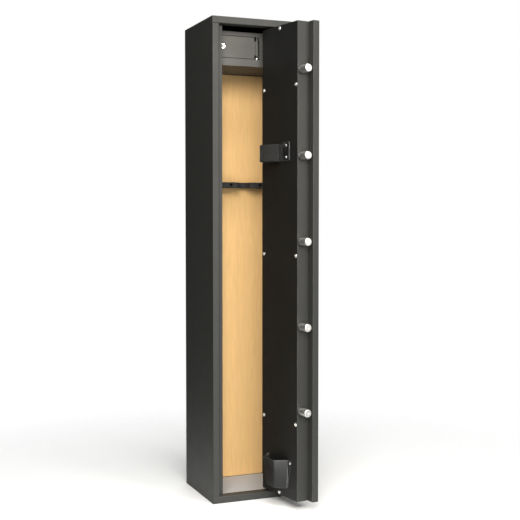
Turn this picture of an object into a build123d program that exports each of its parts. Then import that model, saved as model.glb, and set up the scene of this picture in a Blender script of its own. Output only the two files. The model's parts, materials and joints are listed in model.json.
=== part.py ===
"""Tall steel gun safe with one pivot-hung door, five round locking bolts and an inner locker.

The safe stands on z = 0 with its back towards +Y and its door side towards -Y. The origin is the
centre of the body's footprint. The door's pieces are drawn in the closed position and then swung
open about the pivot line. All lengths are in millimetres.
"""

from build123d import *
from math import cos, radians, sin
import os

# ---- body ----
body_width = 275.0
body_depth = 270.0
body_height = 1500.0
sheet = 2.0
bend = 1.4  # centre-line radius of a fold in the body sheet
frame_face = 21.5  # visible width of the stiles
rail_height = 22.0  # visible height of the top and bottom rails
stile_return = 24.0  # how far the stiles fold back into the body
bolt_stop_width = 17.5  # flange on the lock side that the bolts catch behind
pivot_lip = 30.0  # depth of the lips that carry the pivots
seam = 0.3  # open line between the welded folds

# ---- door ----
door_open_deg = 99.3
pivot_x = 224.9  # pivot line, from the body's left side
pivot_y = 15.9  # pivot line, behind the body's front
door_left = 23.5
door_right = 247.0
door_bottom = 27.5
door_top = 1471.2
tray_depth = 21.4
tray_sheet = 3.0
tray_lip = 27.1  # folded rim that shows beside the boltwork casing
casing_depth = 38.9
casing_sheet = 2.0
cover_sheet = 1.5

# ---- boltwork ----
bolt_count = 5
bolt_pitch = 256.5
lowest_bolt_z = 302.5
bolt_radius = 12.0
bolt_reach = 37.0  # how far the thrown bolts stand out of the casing
bolt_length = 84.4
bolt_plane = 16.0  # bolt axis below the door's inner face
bush_radius = 14.0
running_clearance = 0.06
carriage_thickness = 5.0
carriage_width = 16.0
spindle_x = 150.0
spindle_z = 900.0
spindle_radius = 6.0
crank_radius = 24.0
key_x = 129.0
key_z = 738.0
lock_top = 780.0

# ---- door fittings ----
pivot_pin_radius = 4.0
pivot_bush_radius = 5.0
pivot_engagement = 16.0
cover_screw_inset = 7.7
strap_bottom, strap_top = 1058.0, 1110.0
pocket_bottom, pocket_top = 57.0, 146.0

# ---- inside of the body ----
mat_thickness = 7.0
liner_thickness = 3.0
locker_front_y = 70.0
locker_bottom, locker_top = 1363.0, 1469.0
locker_sheet = 1.5
locker_opening = (35.0, 183.0, 1386.0, 1456.5)  # left, right, bottom, top
locker_leaf_right = 165.0
locker_hinge_x = 173.5
locker_pin_radius = 2.0
locker_lock_x, locker_lock_z = 57.0, 1422.0
locker_cam_set = 10.4  # how far behind the locker's front the cam turns
rack_z, rack_thickness, rack_depth = 985.0, 18.0, 60.0
rack_notches = (88.5, 186.5)
notch_width, notch_depth = 34.0, 40.0
anchor_x, anchor_heights, anchor_radius = 62.0, (400.0, 1240.0), 6.0

# ---- places that follow from the sizes above ----
body_back = body_depth - sheet
liner_front = body_back - liner_thickness
rail_low = body_height - rail_height
door_back = tray_depth + casing_depth
casing_left = door_left + tray_lip
bolt_y = door_back - bolt_plane
bolt_end = casing_left - bolt_reach
carriage_x = bolt_end + bolt_length
bolt_heights = [lowest_bolt_z + step * bolt_pitch for step in range(bolt_count)]
crank_reach = crank_radius * sin(radians(45))


def block(x0, x1, y0, y1, z0, z1):
    """Box between two corners."""
    middle = ((x0 + x1) / 2, (y0 + y1) / 2, (z0 + z1) / 2)
    return Pos(*middle) * Box(x1 - x0, y1 - y0, z1 - z0)


def rod_x(x0, x1, y, z, radius):
    """Cylinder along X."""
    return Pos((x0 + x1) / 2, y, z) * Rot(0, 90, 0) * Cylinder(radius, x1 - x0)


def rod_y(x, y0, y1, z, radius):
    """Cylinder along Y."""
    return Pos(x, (y0 + y1) / 2, z) * Rot(90, 0, 0) * Cylinder(radius, y1 - y0)


def rod_z(x, y, z0, z1, radius):
    """Cylinder along Z."""
    return Pos(x, y, (z0 + z1) / 2) * Cylinder(radius, z1 - z0)


def tube_z(x, y, z0, z1, outer, inner):
    """Upright tube."""
    return rod_z(x, y, z0, z1, outer) - rod_z(x, y, z0 - 1, z1 + 1, inner)


def folded(points, thickness=sheet):
    """Section of a folded sheet that follows a line of corners."""
    return trace(FilletPolyline(*points, radius=bend), line_width=thickness)


def dome_screw(x, y, z, radius, height):
    """Low domed head that stands out towards +Y, with a hexagon socket."""
    head = rod_y(x, y, y + height, z, radius)
    head = fillet(head.faces().sort_by(Axis.Y)[-1].edges(), height * 0.7)
    socket = Pos(x, y + height, z) * Rot(90, 0, 0) * extrude(RegularPolygon(radius * 0.45, 6), height * 0.6)
    return head - socket


# ---------------------------------------------------------------- body shell
def side_panel(points):
    """Side wall with its folded front stile; points run from the back to the last fold."""
    return Pos(0, 0, rail_height + seam) * extrude(folded(points), rail_low - rail_height - 2 * seam)


def left_side():
    mid = sheet / 2
    stile = frame_face - mid
    stop = frame_face + bolt_stop_width
    back = stile_return - mid
    points = [(mid, body_depth), (mid, mid), (stile, mid), (stile, back), (stop, back)]
    wall = block(0, sheet, 2 * sheet, body_depth, sheet, body_height - sheet)
    return side_panel(points) + wall


def right_side():
    mid = sheet / 2
    outer = body_width - mid
    stile = body_width - frame_face + mid
    points = [(outer, body_depth), (outer, mid), (stile, mid), (stile, stile_return)]
    wall = block(body_width - sheet, body_width, 2 * sheet, body_depth, sheet, body_height - sheet)
    return side_panel(points) + wall


def end_panel(z_plate, z_lip):
    """Top or bottom sheet, folded into the front rail and the pivot lip."""
    mid = sheet / 2
    points = [(body_depth, z_plate), (mid, z_plate), (mid, z_lip), (pivot_lip, z_lip)]
    panel = extrude(Plane.YZ * folded(points), body_width)
    corner = sheet + seam
    low, high = sorted((z_plate, z_lip))
    inner_low = low + mid if z_plate < z_lip else low - mid
    inner_high = high + mid if z_plate < z_lip else high - mid
    for x0, x1 in ((-1, corner), (body_width - corner, body_width + 1)):
        panel -= block(x0, x1, corner, body_depth + 1, inner_low, inner_high)
    hole = rod_z(pivot_x, pivot_y, z_lip - sheet, z_lip + sheet, pivot_pin_radius)
    return panel - hole


def back_panel():
    panel = block(sheet, body_width - sheet, body_back, body_depth, sheet, body_height - sheet)
    for z in anchor_heights:
        panel -= rod_y(anchor_x, body_back - 1, body_depth + 1, z, anchor_radius)
    return panel


def pivot_block(z0, z1):
    """Solid block welded behind a pivot lip."""
    half = 12.0
    solid = block(pivot_x - half, pivot_x + half, sheet + 1.5, pivot_y + half, z0, z1)
    return solid - rod_z(pivot_x, pivot_y, z0 - 1, z1 + 1, pivot_pin_radius)


def pivot_pin(z0, z1):
    pin = rod_z(pivot_x, pivot_y, z0, z1, pivot_pin_radius)
    ends = pin.faces().sort_by(Axis.Z)
    return chamfer(ends[0].edges() + ends[-1].edges(), 0.8)


def thrust_collar(z0, z1):
    return tube_z(pivot_x, pivot_y, z0, z1, 9.0, pivot_pin_radius)


# ---------------------------------------------------------------- lining and rack
def back_liner():
    board = block(sheet + 0.5, body_width - sheet - 0.5, liner_front, body_back,
                  sheet + mat_thickness, locker_bottom - 1)
    for z in anchor_heights:
        board -= rod_y(anchor_x, liner_front - 1, body_back + 1, z, anchor_radius + 5)
    for x in rack_teeth():
        board -= rod_y(x, liner_front - 1, body_back + 1, rack_z + rack_thickness / 2, 2.0)
    return board


def floor_mat():
    return block(sheet + 1, body_width - sheet - 1, pivot_lip + 0.5, liner_front - 0.5,
                 sheet, sheet + mat_thickness)


def rack_teeth():
    """Middles of the solid stretches beside and between the notches."""
    first, second = rack_notches
    edge = 34.0
    return (edge, (first + second) / 2, body_width - edge)


def barrel_rack():
    front = liner_front - rack_depth
    left, right = sheet + 1, body_width - sheet - 1
    middle = ((left + right) / 2, (front + liner_front) / 2)
    plan = Pos(*middle) * Rectangle(right - left, rack_depth)
    reach = notch_depth - notch_width / 2
    for x in rack_notches:
        plan -= Pos(x, front + reach) * Circle(notch_width / 2)
        plan -= Pos(x, front + reach / 2 - 1) * Rectangle(notch_width, reach + 2)
    mouths = plan.vertices().sort_by(Axis.Y)[:6].sort_by(Axis.X)[1:-1]
    plan = fillet(mouths, 14.0)
    bar = Pos(0, 0, rack_z) * extrude(plan, rack_thickness)
    bar = fillet(bar.edges().group_by(Axis.Z)[-1], 2.0)
    height = rack_z + rack_thickness / 2
    for x in rack_teeth():
        bar -= rod_y(x, front - 1, front + 34, height, 5.5)
        bar -= rod_y(x, front + 30, liner_front + 1, height, 2.0)
    return bar


def rack_screws():
    height = rack_z + rack_thickness / 2
    seat = liner_front - rack_depth + 34
    return [rod_y(x, seat - 3, seat, height, 4.5) + rod_y(x, seat - 1, body_back, height, 2.0)
            for x in rack_teeth()]


# ---------------------------------------------------------------- inner locker
def locker_shell():
    gap = sheet + 0.4
    outer = block(gap, body_width - gap, locker_front_y + locker_sheet, body_back - 0.4,
                  locker_bottom, locker_top)
    inner = block(gap + locker_sheet, body_width - gap - locker_sheet,
                  locker_front_y, body_back - 0.4 - locker_sheet,
                  locker_bottom + locker_sheet, locker_top - locker_sheet)
    return outer - inner


def locker_front():
    gap = sheet + 0.4
    left, right, low, high = locker_opening
    back = locker_front_y + locker_sheet
    plate = block(gap, body_width - gap, locker_front_y, back, locker_bottom, locker_top)
    plate -= block(left, right, locker_front_y - 1, back + 1, low, high)
    hinge_return = block(right, right + locker_sheet, back, back + 12, low, high)
    strike_return = block(left - locker_sheet, left, back, locker_front_y + locker_cam_set - 0.2, low, high)
    return plate + hinge_return + strike_return


def locker_knuckles():
    """Fixed lower and upper knuckles, each on a short tab that reaches behind the frame."""
    right, low, high = locker_opening[1:]
    y = locker_front_y + 0.5
    pieces = []
    for z0, z1 in ((low + 3, low + 12), (high - 12, high - 0.5)):
        tab = block(locker_hinge_x, right, y + 1, y + 1 + locker_sheet, z0, z1)
        knuckle = rod_z(locker_hinge_x, y, z0, z1, 3.8)
        hole = rod_z(locker_hinge_x, y, z0 - 1, z1 + 1, locker_pin_radius)
        pieces.append(tab + knuckle - hole)
    return pieces


def locker_pin():
    low, high = locker_opening[2:]
    y = locker_front_y + 0.5
    pin = rod_z(locker_hinge_x, y, low + 2, high - 0.2, locker_pin_radius)
    return pin + rod_z(locker_hinge_x, y, low + 0.2, low + 3, 3.4)


def locker_leaf():
    """Locker door: plate with folded edges, a hinge knuckle and the lock hole."""
    left, _, low, high = locker_opening
    gap = 1.5
    front, y = locker_front_y, locker_front_y + 0.5
    x0, x1, z0, z1 = left + gap, locker_leaf_right, low + gap, high - gap
    leaf = block(x0, x1, front, front + 6, z0, z1)
    leaf -= block(x0 + locker_sheet, x1 - locker_sheet, front + locker_sheet, front + 7,
                  z0 + locker_sheet, z1 - locker_sheet)
    strap = block(x1 - 1, locker_hinge_x, y + 1, y + 1 + locker_sheet, low + 14, high - 14)
    knuckle = rod_z(locker_hinge_x, y, low + 12.4, high - 12.4, 3.8)
    leaf = leaf + strap + knuckle
    leaf -= rod_z(locker_hinge_x, y, low, high, locker_pin_radius + running_clearance)
    return leaf - rod_y(locker_lock_x, front - 1, front + 3, locker_lock_z, 7.0)


def locker_cylinder():
    """Fixed barrel of the ring key lock with its flange and clamping nut."""
    x, z, front = locker_lock_x, locker_lock_z, locker_front_y
    flange = rod_y(x, front - 3.2, front, z, 9.0)
    flange = fillet(flange.faces().sort_by(Axis.Y)[0].edges(), 1.4)
    barrel = rod_y(x, front - 1, front + locker_cam_set - 0.4, z, 7.0)
    nut = Pos(x, front + 6, z) * Rot(90, 0, 0) * extrude(RegularPolygon(10.5, 6), 4.4)
    bore = rod_y(x, front - 5, front + 20, z, 5.0 + running_clearance)
    return flange + barrel + nut - bore


def locker_plug():
    """Turning plug with its key slot."""
    x, z, front = locker_lock_x, locker_lock_z, locker_front_y
    plug = rod_y(x, front - 3.6, front + locker_cam_set + 3, z, 5.0)
    return plug - block(x - 0.7, x + 0.7, front - 5, front + 6, z - 3.4, z + 3.4)


def locker_cam():
    """Locking tongue on the back of the plug, upright while the locker is unlocked."""
    x, z, y = locker_lock_x, locker_lock_z, locker_front_y + locker_cam_set
    tongue = block(x - 6, x + 6, y, y + 2, z - 8, z + 31)
    tongue = fillet(tongue.edges().filter_by(Axis.Y), 4.0)
    return tongue - rod_y(x, y - 1, y + 3, z, 5.0)


# ---------------------------------------------------------------- door
def door_tray():
    """Outer plate, folded back all round and then in again to form the rim."""
    t = tray_sheet
    tray = block(door_left, door_right, 0, tray_depth, door_bottom, door_top)
    tray = fillet(tray.edges().group_by(Axis.Y)[0], 2.2)
    tray -= block(door_left + t, door_right - t, t, tray_depth - sheet, door_bottom + t, door_top - t)
    rim = 6.0
    tray -= block(casing_left + rim, door_right - rim, t, tray_depth + 1, door_bottom + rim, door_top - rim)
    for z0, z1 in ((door_bottom - 1, door_bottom + pivot_engagement + 1),
                   (door_top - pivot_engagement - 1, door_top + 1)):
        tray -= rod_z(pivot_x, pivot_y, z0, z1, pivot_bush_radius)
    tray -= rod_y(spindle_x, -1, t + 1, spindle_z, 9.0)
    tray -= rod_y(key_x, -1, t + 1, key_z, 6.0)
    return tray


def boltwork_casing():
    """Four-sided casing with an inward flange under the inner cover and a hole for each bolt."""
    t = casing_sheet
    back = door_back - cover_sheet
    casing = block(casing_left, door_right, tray_depth, back, door_bottom, door_top)
    casing -= block(casing_left + t, door_right - t, tray_depth - 1, back - t, door_bottom + t, door_top - t)
    flange = 16.0
    casing -= block(casing_left + flange, door_right - flange, tray_depth, back + 1,
                    door_bottom + flange, door_top - flange)
    for z in bolt_heights:
        casing -= rod_x(casing_left - 1, casing_left + t + 1, bolt_y, z, bush_radius)
    return casing


def inner_cover():
    edge = 0.4
    back = door_back - cover_sheet
    cover = block(casing_left + edge, door_right - edge, back, door_back, door_bottom + edge, door_top - edge)
    return cover


def cover_screw_places():
    """Two columns near the long edges, and one screw in the middle of each short edge."""
    near, far = door_right - cover_screw_inset, casing_left + cover_screw_inset
    heights = [262.4, 772.6, 1282.8]
    places = [(x, z) for x in (near, far) for z in heights]
    middle = (near + far) / 2
    return places + [(middle, door_bottom + 9), (middle, door_top - 9)]


def cover_screws():
    return [dome_screw(x, door_back, z, 6.0, 2.6) for x, z in cover_screw_places()]


def pivot_bush(z0, z1):
    return tube_z(pivot_x, pivot_y, z0, z1, pivot_bush_radius, pivot_pin_radius + running_clearance)


def hinge_dogs():
    """Three fixed studs that hook behind the right stile when the door is shut."""
    dogs = []
    for z in (bolt_heights[0], bolt_heights[2], bolt_heights[4]):
        dog = rod_x(door_right, door_right + 13, bolt_y, z, 8.0)
        dogs.append(chamfer(dog.faces().sort_by(Axis.X)[-1].edges(), 2.0))
    return dogs


# ---------------------------------------------------------------- boltwork
def guide_bushes():
    """Flanged bushes that line the bolt holes, with a flat that clears the casing's flange."""
    bushes = []
    flat = door_back - cover_sheet - casing_sheet
    for z in bolt_heights:
        bush = rod_x(casing_left, casing_left + 9, bolt_y, z, bush_radius)
        bush -= block(casing_left + casing_sheet, casing_left + 10, flat, flat + 9, z - 16, z + 16)
        bush += rod_x(casing_left - 1.6, casing_left, bolt_y, z, bush_radius + 1.6)
        bushes.append(bush - rod_x(casing_left - 3, casing_left + 11, bolt_y, z, bolt_radius + running_clearance))
    return bushes


def locking_bolt(z):
    bolt = rod_x(bolt_end, carriage_x, bolt_y, z, bolt_radius)
    return chamfer(bolt.faces().sort_by(Axis.X)[0].edges(), 1.6)


def bolt_screws():
    """Hexagon screws that hold the bolts to the carriage bar."""
    x = carriage_x + carriage_thickness
    heads = []
    for z in bolt_heights:
        heads.append(Pos(x, bolt_y, z) * Rot(0, 90, 0) * extrude(RegularPolygon(8.0, 6), 6.0))
    return heads


def carriage_bar():
    """Upright bar that joins the bolts, with the slotted drive plate and the lock lug."""
    half = carriage_width / 2
    low, high = bolt_heights[0] - 26, bolt_heights[-1] + 26
    right = carriage_x + carriage_thickness
    bar = block(carriage_x, right, bolt_y - half, bolt_y + half, low, high)
    slot_x = spindle_x - crank_reach
    slot_z = spindle_z + (crank_reach + crank_radius) / 2
    plate_back = bolt_y + half
    plate = block(right - 1, slot_x + 12, plate_back - 4, plate_back, slot_z - 16, slot_z + 16)
    travel = crank_radius - crank_reach
    slot_width = 10.4
    plate -= Pos(slot_x, plate_back - 2, slot_z) * Box(slot_width, 6, travel + 12)
    lug = block(right - 1, right + 16.5, 12.0, bolt_y + half, lock_top + 3, lock_top + 17)
    return bar + plate + lug


# ---------------------------------------------------------------- lock, key and handle
def lock_case():
    """Safe lock body on the inside of the outer plate, with a mouth at the top for its bolt."""
    x0, x1, y0, y1, z0, z1 = 104.0, 164.0, 6.0, 31.0, lock_top - 92, lock_top
    case = block(x0, x1, y0, y1, z0, z1)
    case = fillet(case.edges().filter_by(Axis.Y), 4.0)
    case -= block(x0 + 3, x1 - 3, y0 + 2, y1 - 2, z0 + 3, z1 - 3)
    case -= block(lock_bolt_x()[0] - 0.3, lock_bolt_x()[1] + 0.3, 11.7, 24.3, z1 - 4, z1 + 1)
    return case - rod_y(key_x, y0 - 1, y0 + 3, key_z, 6.0)


def lock_bolt_x():
    left = carriage_x + carriage_thickness + 17.0
    return left, left + 18.0


def lock_bolt():
    """Bolt of the lock: its head rises behind the carriage's lug when the key is turned."""
    left, right = lock_bolt_x()
    head = block(left, right, 12.0, 24.0, lock_top - 22, lock_top)
    tail = block(left, right, 25.2, 28.2, key_z - 16, lock_top - 17)
    joint = block(left, right, 22.0, 28.2, lock_top - 22, lock_top - 17)
    return head + tail + joint


def hard_plate():
    """Hardened plate between the outer plate and the lock."""
    plate = block(98.0, 170.0, tray_sheet, 6.0, lock_top - 96, lock_top + 4)
    return plate - rod_y(key_x, tray_sheet - 1, 7, key_z, 6.0)


def door_key():
    """Double-bitted key in the lock, with a ring bow outside the door."""
    shank = rod_y(key_x, -28, 24, key_z, 4.0)
    bits = block(key_x - 1.2, key_x + 1.2, 13, 23, key_z - 9, key_z + 9)
    bow = Pos(key_x, -38, key_z) * Rot(0, 90, 0) * Cylinder(13, 4)
    bow -= Pos(key_x, -40, key_z) * Rot(0, 90, 0) * Cylinder(6.5, 6)
    bow = fillet(bow.edges().filter_by(GeomType.CIRCLE), 0.9)
    collar = rod_y(key_x, -8, -4, key_z, 5.4)
    return shank + bits + bow + collar


def escutcheon():
    """Ring round the keyhole, with the ear that carries the cover's rivet."""
    plate = rod_y(key_x, -1.6, 0, key_z, 15.0)
    plate += block(key_x - 8, key_x + 8, -1.6, 0, key_z, key_z + 26)
    plate = fillet(plate.edges().filter_by(Axis.Y), 6.0)
    return plate - rod_y(key_x, -3, 1, key_z, 6.0) - rod_y(key_x, -3, 1, key_z + 19, 2.0)


def cover_rivet():
    x, z = key_x, key_z + 19
    head = rod_y(x, -5.4, -3.9, z, 4.0)
    return head + rod_y(x, -4.5, 0, z, 2.0)


def keyhole_cover():
    """Drop-shaped cover, hanging against the key's shank while the key is in."""
    x, z = key_x, key_z + 19
    drop = Pos(0, 0) * Circle(7.0) + Pos(0, -19) * Circle(9.5) + Pos(0, -9.5) * Rectangle(13.0, 19.0)
    plate = extrude(Plane.XZ * drop, 2.0)
    plate -= Pos(0, 0, 0) * Rot(90, 0, 0) * Cylinder(2.0 + running_clearance, 10)
    aside = 44.0
    return Pos(x, -1.7, z) * Rot(0, aside, 0) * plate


def handle_rose():
    rose = rod_y(spindle_x, -5, 0, spindle_z, 26.0)
    rose = fillet(rose.faces().sort_by(Axis.Y)[0].edges(), 2.5)
    sleeve = rod_y(spindle_x, -1, 14, spindle_z, 9.0)
    return rose + sleeve - rod_y(spindle_x, -8, 16, spindle_z, spindle_radius + running_clearance)


def door_handle():
    """Turning grip on its neck, upright while the bolts are thrown."""
    neck = rod_y(spindle_x, -26, -5.3, spindle_z, 10.5)
    grip = extrude(Plane.XZ.offset(24) * SlotOverall(104, 20, rotation=90), 16)
    grip = Pos(spindle_x, 0, spindle_z) * grip
    grip = fillet(grip.edges().group_by(Axis.Y)[0], 5.0)
    return grip + neck


def spindle():
    return rod_y(spindle_x, -5.3, bolt_y - 0.5, spindle_z, spindle_radius)


def crank():
    """Arm on the inner end of the spindle; its pin runs in the carriage's slot."""
    back = bolt_y + carriage_width / 2 - 4.6
    front = back - 5
    hub = rod_y(spindle_x, front - 6, back, spindle_z, 11.0)
    pin_x, pin_z = spindle_x - crank_reach, spindle_z + crank_reach
    arm = Pos((spindle_x + pin_x) / 2, (front + back) / 2, (spindle_z + pin_z) / 2)
    arm *= Rot(0, 45, 0) * Box(14, back - front, crank_radius)
    pin = rod_y(pin_x, front, back + 5.5, pin_z, 4.0)
    end = rod_y(pin_x, front, back, pin_z, 7.0)
    socket = rod_y(spindle_x, front - 7, bolt_y - 0.5, spindle_z, spindle_radius)
    return hub + arm + end + pin - socket


# ---------------------------------------------------------------- strap and muzzle pocket
def on_door(from_hinge_edge):
    """X of a point given by its distance from the casing's hinge-side edge."""
    return door_right - from_hinge_edge


def strap_bracket():
    """Clamp plate over the ends of the barrel strap."""
    left, right = on_door(160.0), on_door(123.0)
    plate = block(left, right, door_back + 2.4, door_back + 4.4, strap_bottom + 1, strap_top + 6)
    plate = fillet(plate.edges().filter_by(Axis.Y), 3.0)
    return plate


def strap_rivets():
    x = on_door(140.0)
    middle = (strap_bottom + strap_top + 7) / 2
    return [dome_screw(x, door_back + 4.4, z, 4.5, 2.2) for z in (middle - 18, middle + 18)]


def barrel_strap():
    """Webbing loop for the barrel of the gun on the door, with its end under the clamp plate."""
    web = 2.4
    middle = on_door(86.0)
    half_width, half_reach = 33.0, 28.0
    outer, inner = Ellipse(half_width, half_reach), Ellipse(half_width - web, half_reach - web)
    ring = Pos(middle, door_back + half_reach) * (outer - inner)
    end = on_door(158.0)
    tail = Pos((end + middle) / 2, door_back + web / 2) * Rectangle(middle - end, web)
    return Pos(0, 0, strap_bottom) * extrude(ring + tail, strap_top - strap_bottom)


def muzzle_pocket():
    """Folded sheet pocket, open at the top, that holds a muzzle against the door."""
    t = 1.5
    height = pocket_top - pocket_bottom
    top_front, bottom_front, reach_top, reach_bottom = 30.0, 24.0, 40.0, 31.0
    slope = 21.0

    def outline(half, reach):
        foot = half + slope
        return Polygon((-foot, 0), (foot, 0), (half, reach), (-half, reach), align=None)

    def inside(half, reach):
        foot = half + slope - 1.5 * t
        front = half - t * 0.6
        return Polygon((-foot, -1), (foot, -1), (front, reach - t), (-front, reach - t), align=None)

    outer = loft([outline(bottom_front, reach_bottom), Pos(0, 0, height) * outline(top_front, reach_top)])
    floor, mouth = inside(bottom_front, reach_bottom), inside(top_front, reach_top)
    inner = loft([Pos(0, 0, t) * floor, Pos(0, 0, height + 1) * mouth])
    ear_top, ear_low = 75.0, 51.0
    ears = Polygon((-ear_top, height), (ear_top, height), (ear_low, height * 0.12), (-ear_low, height * 0.12),
                   align=None)
    ears = fillet(ears.vertices().sort_by(Axis.Y)[-2:], 8.0)
    ears = extrude(Plane.XZ * ears, t, dir=(0, 1, 0))
    pocket = (outer + ears) - inner
    return Pos(on_door(96.0), door_back, pocket_bottom) * pocket


def pocket_rivets():
    return [dome_screw(on_door(96.0 + side * 63.5), door_back + 1.5, 138.0, 4.0, 1.8) for side in (-1, 1)]


# ---------------------------------------------------------------- assembly
centre_body = Pos(-body_width / 2, -body_depth / 2, 0)
swing_open = Pos(pivot_x, pivot_y, 0) * Rot(0, 0, door_open_deg) * Pos(-pivot_x, -pivot_y, 0)

fixed_nodes = {
    "left_side": left_side(),
    "right_side": right_side(),
    "back_panel": back_panel(),
    "top_panel": end_panel(body_height - sheet / 2, rail_low + sheet / 2),
    "bottom_panel": end_panel(sheet / 2, rail_height - sheet / 2),
    "lower_pivot_block": pivot_block(rail_height - sheet - 12, rail_height - sheet),
    "upper_pivot_block": pivot_block(rail_low + sheet, rail_low + sheet + 12),
    "lower_pivot_pin": pivot_pin(rail_height - sheet - 11, door_bottom + pivot_engagement),
    "upper_pivot_pin": pivot_pin(door_top - pivot_engagement, rail_low + sheet + 11),
    "lower_thrust_collar": thrust_collar(rail_height, door_bottom - 0.1),
    "upper_spacer_collar": thrust_collar(door_top + 0.4, rail_low),
    "back_liner": back_liner(),
    "floor_mat": floor_mat(),
    "barrel_rack": barrel_rack(),
    "rack_screws": rack_screws(),
    "locker_shell": locker_shell(),
    "locker_front": locker_front(),
    "locker_knuckles": locker_knuckles(),
    "locker_hinge_pin": locker_pin(),
    "locker_door": locker_leaf(),
    "locker_lock_cylinder": locker_cylinder(),
    "locker_lock_plug": locker_plug(),
    "locker_lock_cam": locker_cam(),
}
door_nodes = {
    "door_outer_plate": door_tray(),
    "boltwork_casing": boltwork_casing(),
    "inner_cover": inner_cover(),
    "cover_screws": cover_screws(),
    "lower_pivot_bush": pivot_bush(door_bottom, door_bottom + pivot_engagement),
    "upper_pivot_bush": pivot_bush(door_top - pivot_engagement, door_top),
    "hinge_side_dogs": hinge_dogs(),
    "bolt_guide_bushes": guide_bushes(),
    "bolt_screws": bolt_screws(),
    "carriage_bar": carriage_bar(),
    "lock_case": lock_case(),
    "lock_bolt": lock_bolt(),
    "hard_plate": hard_plate(),
    "door_key": door_key(),
    "keyhole_escutcheon": escutcheon(),
    "keyhole_cover": keyhole_cover(),
    "keyhole_cover_rivet": cover_rivet(),
    "handle_rose": handle_rose(),
    "door_handle": door_handle(),
    "handle_spindle": spindle(),
    "drive_crank": crank(),
    "strap_bracket": strap_bracket(),
    "strap_rivets": strap_rivets(),
    "barrel_strap": barrel_strap(),
    "muzzle_pocket": muzzle_pocket(),
    "pocket_rivets": pocket_rivets(),
}
for number, z in enumerate(bolt_heights, start=1):
    door_nodes[f"locking_bolt_{number}"] = locking_bolt(z)


def write_node(name, pieces, place):
    """Write one node as a STEP file; a list of pieces becomes a group of solids."""
    group = pieces if isinstance(pieces, list) else [pieces]
    solids = [place * solid for piece in group for solid in piece.solids()]
    shape = solids[0] if len(solids) == 1 else Compound(children=solids)
    export_step(shape, f"parts/{name}.step")


os.makedirs("parts", exist_ok=True)
for node_name, node_pieces in fixed_nodes.items():
    write_node(node_name, node_pieces, centre_body)
for node_name, node_pieces in door_nodes.items():
    write_node(node_name, node_pieces, centre_body * swing_open)
print(len(fixed_nodes) + len(door_nodes), "nodes")
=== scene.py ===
"""Finishes and detailed fittings for a tall gun safe, built around its fixed frame.

The sheet metal, rack, lining and lock parts of the frame are kept and painted. The bolts, bushes,
screws, handle, locker lock, strap, clamp plate, muzzle pocket and floor mat are modelled here.
Door pieces are shaped with the door shut and then swung open with it. All sizes are in metres.
"""

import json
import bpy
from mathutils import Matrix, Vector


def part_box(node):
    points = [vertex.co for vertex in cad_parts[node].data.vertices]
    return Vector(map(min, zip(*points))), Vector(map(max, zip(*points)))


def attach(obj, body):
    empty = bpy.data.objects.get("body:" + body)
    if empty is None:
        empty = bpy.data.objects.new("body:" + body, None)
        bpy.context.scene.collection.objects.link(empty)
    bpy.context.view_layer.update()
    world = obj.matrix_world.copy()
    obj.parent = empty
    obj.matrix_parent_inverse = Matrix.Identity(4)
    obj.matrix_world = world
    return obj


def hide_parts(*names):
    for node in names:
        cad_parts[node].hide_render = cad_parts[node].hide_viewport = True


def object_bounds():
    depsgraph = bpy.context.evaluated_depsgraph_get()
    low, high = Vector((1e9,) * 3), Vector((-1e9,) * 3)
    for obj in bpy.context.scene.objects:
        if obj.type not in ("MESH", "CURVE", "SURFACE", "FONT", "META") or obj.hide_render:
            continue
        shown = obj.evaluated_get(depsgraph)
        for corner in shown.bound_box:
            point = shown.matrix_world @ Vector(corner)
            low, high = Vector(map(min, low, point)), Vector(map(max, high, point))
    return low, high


bl_info = {
    "name": "Gun Safe Finishes",
    "version": (1, 0, 0),
    "blender": (4, 5, 0),
    "location": "View3D > Sidebar > Gun Safe",
    "description": "Paints a gun safe and adds its bolts, fixings, strap, pocket, mat and studio",
    "category": "Object",
}

from math import cos, pi, radians, sin

import bmesh
import bpy
from bpy.props import FloatProperty, FloatVectorProperty, IntProperty, PointerProperty
from mathutils import Matrix, Vector, noise

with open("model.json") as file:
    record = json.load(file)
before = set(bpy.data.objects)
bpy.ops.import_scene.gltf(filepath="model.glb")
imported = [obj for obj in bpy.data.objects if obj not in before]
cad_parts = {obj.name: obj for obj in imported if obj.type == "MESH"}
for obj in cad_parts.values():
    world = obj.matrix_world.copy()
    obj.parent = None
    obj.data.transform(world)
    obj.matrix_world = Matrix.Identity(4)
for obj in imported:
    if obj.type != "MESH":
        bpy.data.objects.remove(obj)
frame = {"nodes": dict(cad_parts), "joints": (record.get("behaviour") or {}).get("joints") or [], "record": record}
cad_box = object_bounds()


# ---- places read from the frame
def corners(points):
    """Lowest and highest corner of some points."""
    points = list(points)
    low = Vector([min(point[axis] for point in points) for axis in range(3)])
    high = Vector([max(point[axis] for point in points) for axis in range(3)])
    return low, high


door_swing = next(joint for joint in frame["joints"] if joint["name"] == "door_swing")
door_pivot = Vector(door_swing["pos_m"])
door_angle = -radians(door_swing["range_deg"][0])
door_open = (Matrix.Translation(door_pivot) @ Matrix.Rotation(door_angle, 4, "Z")
             @ Matrix.Translation(-door_pivot))
door_shut = door_open.inverted()
slot_of = {part["node"]: part["material_slot"] for part in frame["record"]["subparts"]}
bolt_nodes = sorted(name for name in frame["nodes"] if name.startswith("locking_bolt_"))


def shut_box(node):
    """Lowest and highest corner of a door node with the door shut."""
    return corners(door_shut @ vert.co for vert in frame["nodes"][node].data.vertices)


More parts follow.
